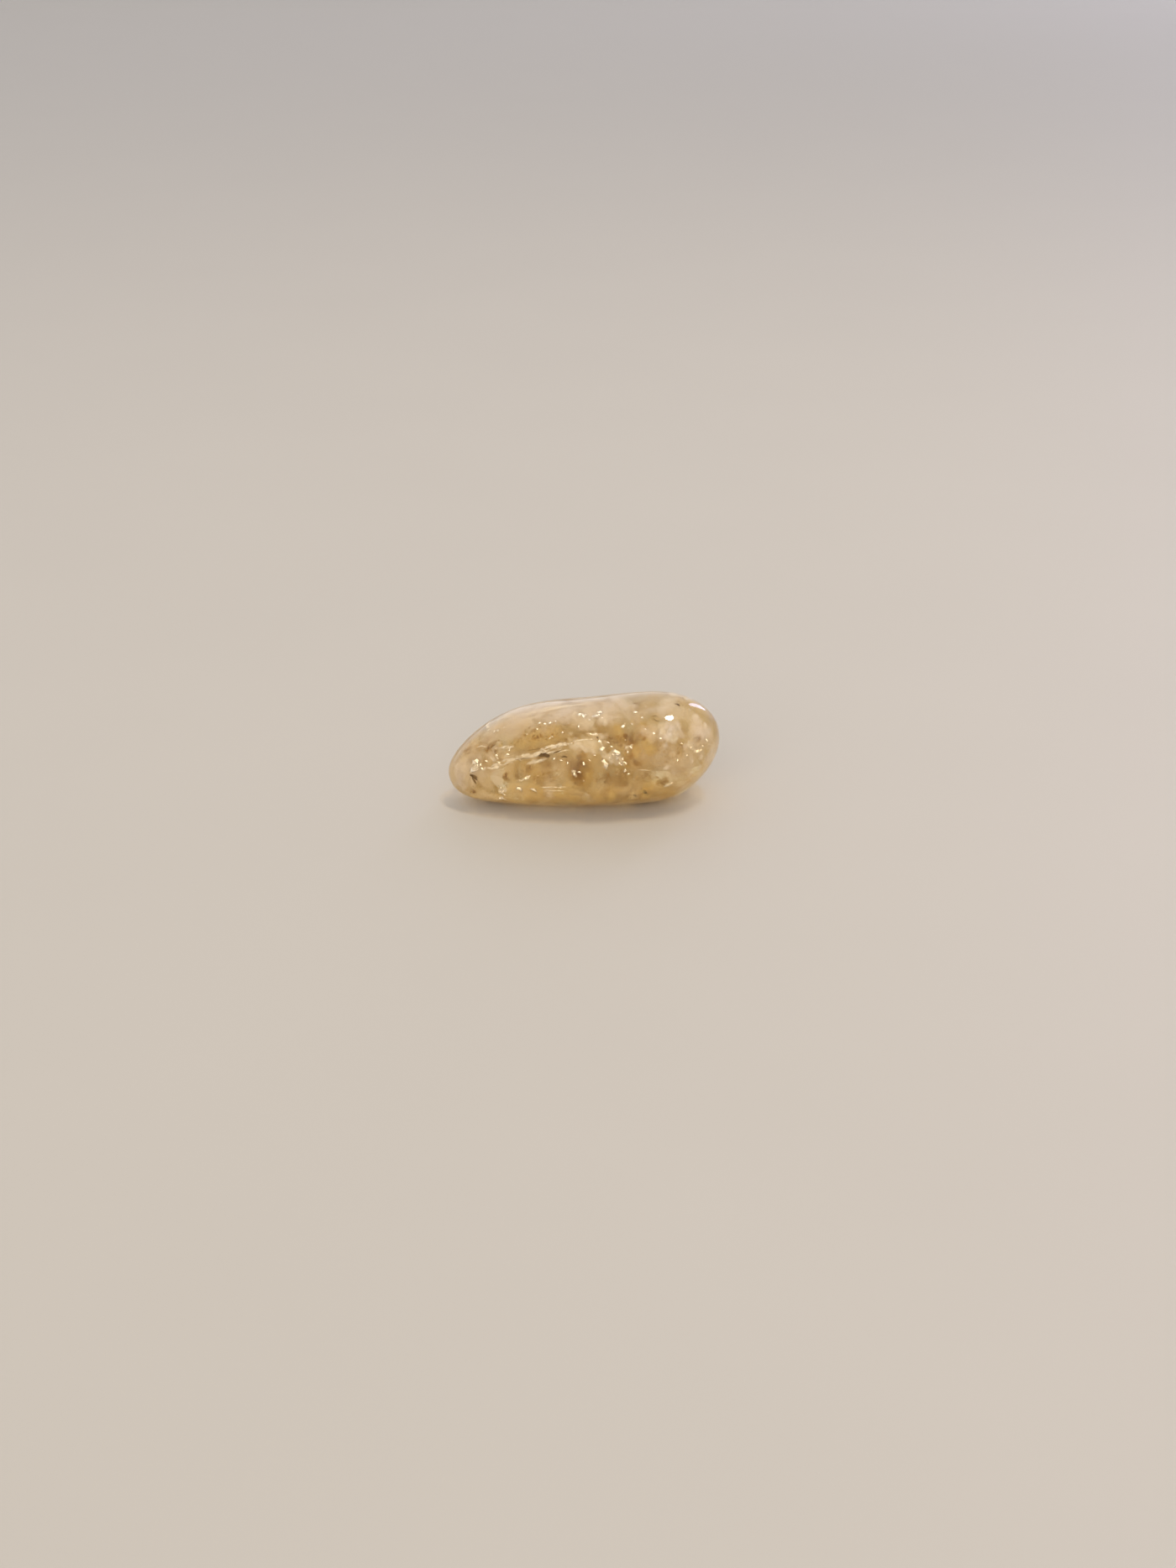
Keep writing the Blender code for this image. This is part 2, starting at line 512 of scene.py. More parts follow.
cloudSetup = {
    "seed": 21,
    "thick": 0.16,  # as a share of a cloud's radius
    "strength": 1.2,  # one control over all the milk
    "ragged": 0.12,
    "long": (0.9, 1.5),  # least and greatest share of the radius
    "wide": (0.6, 1.0),
    "vary": (0.6, 1.4),  # of the milk, from cloud to cloud
    "varyHoney": 0.15,
    "tilt": 0.5,  # how far a cloud is turned off the polish above it
    "tiltLow": 0.3,  # how far a low cloud is turned off level
    "wisps": 1.1,  # mm, size of the wisps in a cloud
    "wispRange": (0.35, 0.68, 0.25, 1.6),  # from and to in the noise, then in the share of the milk
    # a faint lavender white: the milk's own colour, and on the crown the painted sheen of a pale wall
    "milkAndSheenColour": "#f4efed",
    "honeyColour": "#eddaa0",
    "bends": [(-0.15, 0.0), (-0.25, 0.1), (0.1, 0.1), (-0.1, -0.15)],  # bow and twist of each cloud shape
    "haze": {"count": 110, "radius": 2.4, "milk": 0.34, "honey": 0.6, "room": 0.8},  # room: mm to the polish
    "base": {
        "count": 46,
        "radius": 2.3,
        "milk": 0.6,
        "honey": 0.75,
        "room": 0.5,
        "below": 3.0,  # mm above the flat
        "heights": (0.25, 1.5),
    },
    "places": {
        # middle and spread in mm across, up and deep, how many, their radius in mm, how milky, how golden
        # the next two are milky quartz that also paint the sheen of a pale wall, reflected at a graze along
        # the crown
        "crownMilkAndSheen": ((-6.0, 3.3, 0.8), (6.0, 1.1, 0.5), 26, 1.7, 0.32, 0.05),
        "crownLeftMilkAndSheen": ((-9.2, 1.8, 0.8), (2.8, 1.3, 0.5), 12, 1.4, 0.34, 0.15),
        "noseCream": ((-12.6, -3.2, 0.6), (0.9, 1.3, 0.4), 14, 0.7, 0.48, 0.0),
        "leftLilac": ((-10.4, 0.0, 0.9), (1.5, 0.9, 0.4), 8, 0.6, 0.26, 0.0),
        "leftCream": ((-9.4, -3.5, 1.0), (1.4, 1.4, 0.4), 10, 0.8, 0.22, 0.4),
        "lowCream": ((-7.2, -5.0, 1.4), (1.6, 1.0, 0.4), 10, 0.8, 0.22, 0.5),
        "rightVeil": ((6.5, 1.6, 1.0), (1.2, 0.9, 0.4), 10, 1.0, 0.24, 0.3),
        "crownEnd": ((7.9, 3.5, 0.8), (3.0, 1.0, 0.4), 12, 1.3, 0.28, 0.15),
        "crownRight": ((2.5, 3.9, 0.8), (3.5, 0.9, 0.5), 12, 1.5, 0.30, 0.15),
        "crownDrape": ((0.8, 2.6, 0.9), (3.4, 1.8, 0.4), 14, 1.1, 0.34, 0.15),
        "nose": ((-12.2, -2.3, 1.0), (1.8, 2.2, 0.7), 22, 1.4, 0.60, 0.4),
        "noseBack": ((-10.0, -1.0, 2.4), (3.0, 2.4, 0.6), 10, 1.5, 0.50, 0.5),
        "golden": ((-4.5, 1.0, 2.0), (4.0, 1.4, 0.8), 10, 1.4, 0.35, 1.0),
        "middle": ((-3.0, -3.0, 2.2), (5.5, 1.6, 1.0), 16, 1.6, 0.40, 0.95),
        "rightMid": ((5.6, -0.4, 2.1), (2.0, 2.6, 0.7), 18, 1.3, 0.50, 0.85),
        "rightBody": ((9.0, -1.0, 1.8), (3.5, 3.0, 1.0), 24, 1.5, 0.42, 0.35),
        "rightPatch": ((8.9, 1.4, 0.7), (1.1, 1.1, 0.4), 16, 0.6, 0.86, 0.03),
        "rightMottle": ((11.0, -1.5, 0.9), (3.6, 3.6, 0.5), 46, 0.45, 0.50, 0.15),
        "leftMottle": ((-10.6, -0.8, 1.0), (2.4, 2.2, 0.5), 24, 0.40, 0.50, 0.35),
        "centreMottle": ((1.0, 0.4, 1.2), (6.0, 2.4, 0.5), 30, 0.45, 0.45, 0.3),
        "rightEnd": ((12.8, -0.8, 0.9), (1.8, 3.8, 0.4), 14, 1.2, 0.45, 0.15),
        # the next two are milky golden quartz along the base that partly paint the glow of light let through
        # the lower edge
        "edgeRight": ((7.5, -5.6, 0.45), (3.5, 0.6, 0.2), 16, 1.0, 0.80, 0.9),
        "edgeLeft": ((-3.0, -5.95, 0.35), (5.0, 0.4, 0.2), 22, 1.0, 0.80, 0.9),
        "lowRight": ((5.5, -5.3, 0.9), (7.5, 0.8, 0.5), 24, 1.5, 0.50, 0.85),
        "lowLeft": ((-6.0, -5.2, 0.9), (6.5, 0.9, 0.5), 26, 1.4, 0.50, 0.75),
        # milky golden quartz that partly paints the glow of light let through the lower edge
        "edgeGap": ((-2.0, -6.05, 0.3), (1.2, 0.15, 0.1), 10, 0.8, 0.90, 0.9),
    },
    "placesBehind": {
        "backCrown": ((3.0, 3.2, 0.8), (9.0, 1.2, 0.5), 20, 1.5, 0.32, 0.1),
        "backMottle": ((0.0, -0.5, 1.1), (11.0, 3.2, 0.5), 70, 0.45, 0.50, 0.25),
        "backVeils": ((-6.0, -0.5, 1.2), (4.0, 2.6, 0.6), 10, 1.2, 0.42, 0.3),
        "backGold": ((3.0, -2.0, 2.0), (6.0, 2.0, 0.8), 10, 1.4, 0.40, 0.95),
        "backNose": ((11.5, -2.4, 1.0), (2.0, 2.0, 0.6), 12, 1.2, 0.50, 0.4),
    },
}


def milkyQuartz(setup):
    # milky quartz: countless bubbles too small to see scatter the light, so that it glows softly from
    # within, white where they are many and golden where the clear citrine lies over them. Along the crown it
    # also paints the sheen of a pale wall seen at a graze, and along the base the glow of light let through
    # the lower edge.
    material = newMaterial("milkyQuartz")
    place = addNode(material, "TexCoord").outputs["Object"]
    milk = addNode(material, "Attribute", attribute_name="milk")
    honey = addNode(material, "Attribute", attribute_name="honey")
    wisps = addNode(material, "TexNoise", {
        "Scale": perSize(setup["wisps"]), "Detail": 4.0, "Roughness": 0.72, "Distortion": 0.7},
        {"Vector": place})
    share = addNode(material, "MapRange", dict(zip(rangeSockets, setup["wispRange"])), {"Value": wisps})
    alpha = addNode(material, "Math", links={0: milk.outputs["Fac"], 1: share},
                    operation="MULTIPLY", use_clamp=True)
    colour = addNode(material, "ValToRGB", links={"Fac": honey.outputs["Fac"]}, stops=[
        (0, setup["milkAndSheenColour"]), (1, setup["honeyColour"])])
    return finishMaterial(material, partlyClear(material, alpha, softGlow(material, colour)))


def makeClouds(setup):
    draw = np.random.default_rng(setup["seed"])
    templates = [lensTemplate(10, 6, setup["thick"], bow, twist, setup["ragged"], seed)
                 for seed, (bow, twist) in enumerate(setup["bends"])]
    copies = []

    def addCloud(point, normal, radius, milk, honey):
        template = templates[draw.integers(len(templates))]
        long = radius * draw.uniform(*setup["long"])
        wide = radius * draw.uniform(*setup["wide"])
        axes = axesAlong(normal, draw.uniform(0, 2 * math.pi), (long * mm, wide * mm, radius * mm))
        amount = setup["strength"] * milk * draw.uniform(*setup["vary"])
        tone = min(max(honey + draw.normal() * setup["varyHoney"], 0), 1)
        copies.append((template, axes, point, {"milk": amount * template["fade"], "honey": tone}))

    haze = setup["haze"]
    for number in range(haze["count"]):
        point = anyPointInside(draw, haze["room"] * mm)
        addCloud(point, anyDirection(draw), haze["radius"], haze["milk"], haze["honey"])
    base = setup["base"]
    for number in range(base["count"]):
        point = anyPointInside(draw, base["room"] * mm)
        while point.z > base["below"] * mm:
            point = anyPointInside(draw, base["room"] * mm)
        point.z = draw.uniform(*base["heights"]) * mm
        addCloud(point, (Vector((0, 0, 1)) + setup["tiltLow"] * anyDirection(draw)).normalized(),
                 base["radius"], base["milk"], base["honey"])
    places = [(place, 0) for place in setup["places"].values()]
    places += [(place, 180) for place in setup["placesBehind"].values()]
    for (middle, spread, count, radius, milk, honey), turn in places:
        for number in range(count):
            point = pointNear(draw, middle, spread, turn)[0]
            outward = skinTree.find_nearest(point)[1]
            addCloud(point, (outward + setup["tilt"] * anyDirection(draw)).normalized(), radius, milk, honey)
    joinCopies("milkyClouds", copies, milkyQuartz(setup), sealSetup["gap"])


makeClouds(cloudSetup)
print("milky clouds made")


def towardsLamp(point):
    # its light reaches what is sealed inside in a straight line, as the polish lets it through unbent
    setup = lampSetup["overheadLamp"]
    place = cameraSetup["stoneMiddle"] + Vector(setup["direction"]).normalized() * setup["distance"]
    return (place - point).normalized()


def mirrorTo(inward, light):
    # the way a plate has to face to throw this light along the ray that runs inward
    return (light - inward).normalized()


smokeSetup = {
    "seed": 41,
    "thick": 0.3,
    "grain": 0.8,  # mm
    "grainRange": (0.3, 0.65),  # from and to in the noise, between which the smoke comes in
    "tint": "#cfb35f",
    "long": (0.6, 1.2),  # least and greatest share of the radius
    "wide": (0.5, 0.9),  # the same, as a share of the length
    "tilt": 0.4,  # how far a zone is turned off the way it is seen
    "bow": -0.1,
    "twist": 0.05,
    "ragged": 0.15,
    "speckBelow": 0.3,  # mm, radius under which a plainer lens does
    "places": {
        # middle and spread in mm across, up and deep, how many, their radius in mm, how dark
        "amberCore": ((-0.1, -2.6, 1.7), (0.9, 1.2, 0.5), 12, 1.2, 0.46),
        "amberRight": ((3.6, -3.0, 2.1), (2.4, 1.2, 0.7), 9, 1.4, 0.18),
        "crownSmoke": ((5.6, 4.1, 0.9), (1.3, 0.7, 0.3), 8, 1.3, 0.14),
        "lowSmoke": ((7.84, -3.73, 1.0), (0.7, 0.4, 0.4), 7, 0.5, 0.45),
        "rightOlive": ((5.4, 0.5, 1.3), (2.0, 1.0, 0.5), 9, 0.8, 0.22),
        "noseOlive": ((-10.9, -0.2, 1.0), (1.6, 0.7, 0.4), 8, 0.5, 0.4),
        "lowOlive": ((-5.0, -2.7, 1.6), (3.5, 0.9, 0.6), 12, 1.0, 0.22),
        "leftBlob": ((-8.17, -3.42, 0.8), (0.35, 0.3, 0.3), 6, 0.35, 0.55),
        "noseLow": ((-11.31, -4.91, 0.5), (0.4, 0.15, 0.15), 8, 0.3, 0.6),
        "leftBrown": ((-8.05, -3.35, 0.7), (0.25, 0.35, 0.2), 5, 0.35, 0.6),
        "endAmber": ((11.7, 0.6, 0.9), (0.6, 0.8, 0.3), 7, 0.6, 0.14),
        "rightBrown": ((7.85, -3.95, 0.4), (0.7, 0.35, 0.15), 14, 0.45, 0.55),
        "lowRightAmber": ((6.0, -4.7, 1.0), (3.2, 0.7, 0.4), 18, 1.1, 0.2),
        "noseShadow": ((-12.0, -0.75, 0.5), (0.8, 0.3, 0.2), 8, 0.5, 0.5),
        "leftShadow": ((-9.61, 0.45, 1.2), (0.61, 0.35, 0.5), 6, 0.48, 0.4),
        "endCircle": ((11.68, 0.63, 0.9), (0.5, 0.45, 0.2), 9, 0.55, 0.34),
        "upperAmber": ((3.48, 0.4, 1.6), (1.0, 0.6, 0.5), 6, 0.8, 0.2),
        "midAmber": ((4.75, -1.64, 1.6), (0.7, 0.52, 0.5), 6, 0.61, 0.4),
        "rightAmber": ((5.92, 0.98, 1.7), (1.4, 0.6, 0.5), 6, 0.9, 0.24),
        "midOlive": ((-1.75, -1.73, 2.0), (1.22, 0.52, 0.5), 6, 0.87, 0.2),
        "lensHalo": ((-4.0, -1.6, 1.2), (1.0, 0.5, 0.3), 5, 0.9, 0.24),
        "goldenGrain": ((-4.5, 1.2, 0.9), (3.4, 1.2, 0.4), 70, 0.24, 0.5),
        "centreGrain": ((4.2, 0.7, 0.8), (2.6, 0.9, 0.4), 45, 0.24, 0.5),
        "leftGrain": ((-9.2, -0.3, 0.7), (1.6, 0.8, 0.3), 35, 0.2, 0.5),
        "lowGrain": ((-3.5, -3.4, 0.9), (4.0, 0.9, 0.4), 45, 0.22, 0.4),
        "rightGrain": ((9.5, -0.6, 0.7), (2.5, 1.7, 0.3), 45, 0.22, 0.4),
        # painted shade under the long step
        "shadeUnderStep": ((-2.0, -1.5, 1.2), (1.6, 0.7, 0.4), 5, 0.9, 0.18),
    },
    "placesBehind": {
        # the same, and how many degrees round from the front
        "backGrain": ((0.0, 0.3, 0.8), (8.0, 2.2, 0.4), 90, 0.24, 0.45, 190),
        "backShade": ((-3.0, -1.0, 1.4), (4.0, 1.6, 0.5), 10, 1.0, 0.25, 215),
        "endGrain": ((0.4, 0.3, 0.8), (3.4, 2.4, 0.4), 45, 0.24, 0.45, 90),
        "endShade": ((1.6, -0.6, 1.2), (1.4, 1.0, 0.5), 8, 0.8, 0.28, 90),
        "noseGrain": ((0.0, -1.0, 0.8), (2.4, 1.4, 0.3), 25, 0.2, 0.45, 270),
    },
}


def smokyQuartzAndShade(setup):
    # smoky zones in citrine: clear, but they soak up more of the blue and green, so what lies behind browns.
    # The darker ones are partly painted shade, standing in for dark surroundings seen through the stone.
    material = newMaterial("smokyQuartzAndShade")
    place = addNode(material, "TexCoord").outputs["Object"]
    smokeAndShade = addNode(material, "Attribute", attribute_name="smokeAndShade")
    mottle = addNode(material, "TexNoise", {"Scale": perSize(setup["grain"]), "Detail": 4.0},
                     {"Vector": place})
    share = addNode(material, "MapRange", dict(zip(rangeSockets, setup["grainRange"])), {"Value": mottle})
    amount = addNode(material, "Math", links={0: smokeAndShade.outputs["Fac"], 1: share},
                     operation="MULTIPLY", use_clamp=True)
    ramp = addNode(material, "ValToRGB", links={"Fac": amount}, stops=[(0, "#ffffff"), (1, setup["tint"])])
    clear = addNode(material, "BsdfTransparent", links={"Color": ramp})
    return finishMaterial(material, clear)


def makeSmoke(setup):
    draw = np.random.default_rng(setup["seed"])
    bend = (setup["thick"], setup["bow"], setup["twist"], setup["ragged"], 1)
    zone, speck = lensTemplate(10, 6, *bend), lensTemplate(8, 4, *bend)
    copies = []
    places = [*setup["places"].values(), *setup["placesBehind"].values()]
    for middle, spread, count, radius, dark, *turned in places:
        for number in range(count):
            point, inward = pointNear(draw, middle, spread, *turned)
            size = radius * draw.uniform(*setup["long"]) * mm
            normal = (inward + setup["tilt"] * anyDirection(draw)).normalized()
            axes = axesAlong(normal, draw.uniform(0, 2 * math.pi),
                             (size, size * draw.uniform(*setup["wide"]), size))
            template = speck if radius < setup["speckBelow"] else zone
            copies.append((template, axes, point, {"smokeAndShade": dark * template["fade"]}))
    joinCopies("smokyAndShadedZones", copies, smokyQuartzAndShade(setup), sealSetup["gap"])


makeSmoke(smokeSetup)
print("smoky zones made")


crackleSetup = {
    "seed": 11,
    "thick": 0.03,  # as a share of a crack's radius
    "ragged": 0.14,
    "long": (0.9, 1.3),  # least and greatest share of the radius
    "wide": (0.4, 0.9),
    "bends": [(0.15, 0.0), (0.25, 0.1), (-0.2, 0.1), (0.1, -0.15), (0.35, 0.0), (-0.1, 0.2)],  # bow and twist
    "sizes": (0.07, 0.24),  # mm, radius
    "mirrorRange": (0.16, 0.34, 0.05, 0.9),  # from and to in slant, where 0 is head on, then in mirroring
    "airColour": "#fffdf8",
    "mirrorColour": "#fff6e6",
    "mirrorRoughness": 0.15,
    "lampTint": "#f2ece0",  # what its shadow keeps of the light
    "room": 0.5,  # mm to the polish
    "anywhere": 260,
    "places": {
        # middle and spread in mm across, up and deep, how many
        "golden": ((-4.81, 1.24, 1.8), (6.28, 1.92, 1.0), 120),
        "centre": ((2.78, -1.2, 1.8), (4.54, 2.44, 1.0), 120),
        "crown": ((5.23, 3.16, 1.2), (2.79, 1.75, 1.0), 30),
        "endRing": ((11.77, 0.37, 1.2), (2.09, 2.09, 1.0), 30),
        "left": ((-10.04, -1.47, 1.5), (3.14, 2.44, 1.0), 80),
        "low": ((-3.06, -3.82, 1.8), (10.47, 2.44, 1.0), 50),
    },
}


def crackedQuartz(setup):
    # a crack in quartz holds a film of air: clear head on, and a full mirror when it's met at a slant
    material = newMaterial("crackedQuartz")
    facing = addNode(material, "LayerWeight", {"Blend": 0.5})
    share = addNode(material, "MapRange", dict(zip(rangeSockets, setup["mirrorRange"])),
                    {"Value": facing.outputs["Facing"]}, interpolation_type="SMOOTHSTEP")
    clear = addNode(material, "BsdfTransparent", {"Color": setup["airColour"]})
    mirror = addNode(material, "BsdfGlossy", {
        "Color": setup["mirrorColour"], "Roughness": setup["mirrorRoughness"]})
    mix = addNode(material, "MixShader", links={0: share, 1: clear, 2: mirror})
    rays = addNode(material, "LightPath")
    passing = addNode(material, "BsdfTransparent", {"Color": setup["lampTint"]})
    out = addNode(material, "MixShader", links={0: rays.outputs["Is Shadow Ray"], 1: mix, 2: passing})
    return finishMaterial(material, out)


def makeCrackle(setup):
    draw = np.random.default_rng(setup["seed"])
    templates = [lensTemplate(8, 4, setup["thick"], bow, twist, setup["ragged"], seed)
                 for seed, (bow, twist) in enumerate(setup["bends"])]
    low, high = setup["sizes"]
    copies = []

    def addShell(point):
        size = low * (high / low) ** (draw.random() ** 1.4)  # most are small
        long = size * draw.uniform(*setup["long"])
        wide = size * draw.uniform(*setup["wide"])
        axes = axesAlong(anyDirection(draw), draw.uniform(0, 2 * math.pi), (long * mm, wide * mm, size * mm))
        copies.append((templates[draw.integers(len(templates))], axes, point, {}))

    for middle, spread, count in setup["places"].values():
        for number in range(count):
            addShell(pointNear(draw, middle, spread)[0])
    for number in range(setup["anywhere"]):
        addShell(anyPointInside(draw, setup["room"] * mm))
    joinCopies("crackle", copies, crackedQuartz(setup), sealSetup["crackGap"])


makeCrackle(crackleSetup)
print("crackle made")


sparkSetup = {
    "seed": 31,
    "colour": "#fbf8f4",
    "metallic": 0.6,
    "roughness": 0.22,
    "thick": 0.04,  # as a share of a flake's radius
    "bows": [-0.04, -0.09, -0.06],
    "twist": 0.03,
    "ragged": 0.34,
    "size": 1.3,  # one control over the listed radii
    "depth": 0.27,  # mm
    "jitter": 0.05,  # how far a flake is turned off the lamp
    "spin": 1.2,  # radians either way in its own plane
    "wide": (0.5, 1.0),  # least and greatest share of its radius
    "leastSlant": 0.4,  # a flake that is seen at a slant is made wider, but no more than this allows
    "listed": [
        # mm across, mm up, radius in mm
        (1.9, -0.43, 0.26), (3.42, -0.82, 0.34), (3.47, -1.27, 0.22), (2.2, -1.95, 0.3),
        (2.2, -2.39, 0.15), (-0.01, -1.99, 0.15), (3.77, -2.0, 0.15), (4.26, -2.68, 0.17),
        (1.66, 0.31, 0.16), (4.84, -0.28, 0.15), (4.06, 1.87, 0.17), (-0.4, 3.09, 0.24),
        (-0.04, 2.95, 0.22), (1.27, 2.95, 0.28), (1.66, 3.32, 0.24), (-4.55, 2.22, 0.15),
        (-3.47, 2.22, 0.17), (-0.53, 1.87, 0.16), (-2.2, 1.24, 0.11), (5.33, 3.34, 0.17),
        (6.02, 2.77, 0.14), (-6.66, -4.59, 0.24), (-5.18, -4.69, 0.22), (8.66, -4.2, 0.28),
        (12.68, 0.45, 0.15), (11.7, -0.72, 0.2), (-11.16, -1.75, 0.4), (-11.31, -2.54, 0.4),
        (-10.5, -2.5, 0.14), (-7.86, -1.03, 0.13), (-0.97, -3.04, 0.2), (-5.94, -3.52, 0.17),
        (2.52, 0.19, 0.12), (2.87, -0.24, 0.13), (3.13, -1.03, 0.14), (2.7, -1.38, 0.12),
        (4.01, -1.47, 0.13), (4.53, -0.77, 0.12), (4.27, -1.9, 0.14), (4.62, -3.04, 0.12),
        (1.13, -1.12, 0.1), (0.6, -1.64, 0.1), (-3.06, -1.47, 0.1), (-2.36, -1.64, 0.1),
        (-1.67, -1.9, 0.12), (-0.45, -2.86, 0.14), (-7.69, -0.59, 0.1), (-9.0, -1.12, 0.12),
        (-10.04, -1.73, 0.12), (-10.65, -2.08, 0.12), (0.17, 3.07, 0.13), (0.95, 2.9, 0.14),
        (1.56, 3.07, 0.15), (0.6, 2.55, 0.1), (1.91, 2.72, 0.1), (-4.02, 2.11, 0.12),
        (-2.89, 2.37, 0.1), (4.97, 2.11, 0.12), (6.36, 1.59, 0.1), (7.23, 1.15, 0.12),
        (7.93, 0.63, 0.1), (10.11, 0.1, 0.1), (10.64, -1.12, 0.12), (9.68, -1.64, 0.1),
        (-4.81, 1.59, 0.08), (-5.86, 1.06, 0.08), (-3.5, 0.63, 0.08), (8.63, -4.26, 0.14),
        (9.07, -4.0, 0.14), (11.07, -0.33, 0.1), (12.29, -0.16, 0.12), (-8.56, -4.5, 0.11),
        (-8.2, -5.2, 0.13), (-8.65, -5.6, 0.13), (-8.05, -5.75, 0.1), (-8.35, -4.85, 0.1),
        (-11.0, -2.1, 0.16),
    ],
    "behind": {
        # degrees round from the front, then middle and spread in mm across, up and deep, and how many
        "backCluster": (225, (1.5, 0.6, 0.3), (3.0, 1.6, 0.1), 16),
        "backRow": (205, (-4.0, 1.0, 0.3), (4.0, 1.2, 0.1), 12),
        "backLow": (180, (3.5, -2.0, 0.3), (4.0, 1.4, 0.1), 12),
        "backEnd": (150, (-2.0, 0.5, 0.3), (2.5, 1.6, 0.1), 8),
        "endCluster": (90, (0.5, 0.5, 0.3), (2.5, 1.8, 0.1), 12),
        "noseCluster": (270, (0.5, -1.0, 0.3), (2.0, 1.5, 0.1), 8),
    },
    "behindSizes": (0.09, 0.26),  # mm, radius
    "anywhere": 240,
    "anywhereSizes": (0.05, 0.16),  # mm, radius
    "anywhereJitter": 0.1,
    "anywhereFall": (0.05, 0.5),  # how steeply the eye looks down that sees it gleam
    "anywhereRoom": 0.4,  # mm to the polish
}


def flakedQuartz(setup):
    # flakes of quartz that split off a crack's wall, as bright as foil where they catch the lamp
    material = newMaterial("flakedQuartz")
    shader = addNode(material, "BsdfPrincipled", {
        "Base Color": setup["colour"], "Metallic": setup["metallic"],
        "Roughness": setup["roughness"]})
    return finishMaterial(material, shader)


def makeSparks(setup):
    draw = np.random.default_rng(setup["seed"])
    templates = [lensTemplate(7, 4, setup["thick"], bow, setup["twist"], setup["ragged"], seed)
                 for seed, bow in enumerate(setup["bows"])]
    copies = []

    def facingLamp(point, inward, jitter):
        return (mirrorTo(inward, towardsLamp(point)) + jitter * anyDirection(draw)).normalized()

    def addFlake(point, inward, radius):
        normal = facingLamp(point, inward, setup["jitter"])
        slant = max(abs(normal.dot(inward)), setup["leastSlant"])
        lengths = (radius * mm, radius * draw.uniform(*setup["wide"]) / slant * mm, radius * mm)
        axes = axesAlong(normal, draw.uniform(-setup["spin"], setup["spin"]), lengths)
        copies.append((templates[draw.integers(len(templates))], axes, point, {}))

    for across, up, radius in setup["listed"]:
        addFlake(*sealedAt(across, up, setup["depth"]), radius * setup["size"])
    for turn, middle, spread, count in setup["behind"].values():
        for number in range(count):
            point, inward = pointNear(draw, middle, spread, turn)
            addFlake(point, inward, draw.uniform(*setup["behindSizes"]))
    for number in range(setup["anywhere"]):
        radius = draw.uniform(*setup["anywhereSizes"])
        turn = draw.uniform(0, 2 * math.pi)
        inward = Vector((math.cos(turn), math.sin(turn), -draw.uniform(*setup["anywhereFall"]))).normalized()
        point = anyPointInside(draw, setup["anywhereRoom"] * mm)
        normal = facingLamp(point, inward, setup["anywhereJitter"])
        axes = axesAlong(normal, draw.uniform(0, 2 * math.pi),
                         (radius * mm, radius * draw.uniform(*setup["wide"]) * mm, radius * mm))
        copies.append((templates[draw.integers(len(templates))], axes, point, {}))
    joinCopies("sparks", copies, flakedQuartz(setup), sealSetup["crackGap"])


makeSparks(sparkSetup)
print("sparks made")


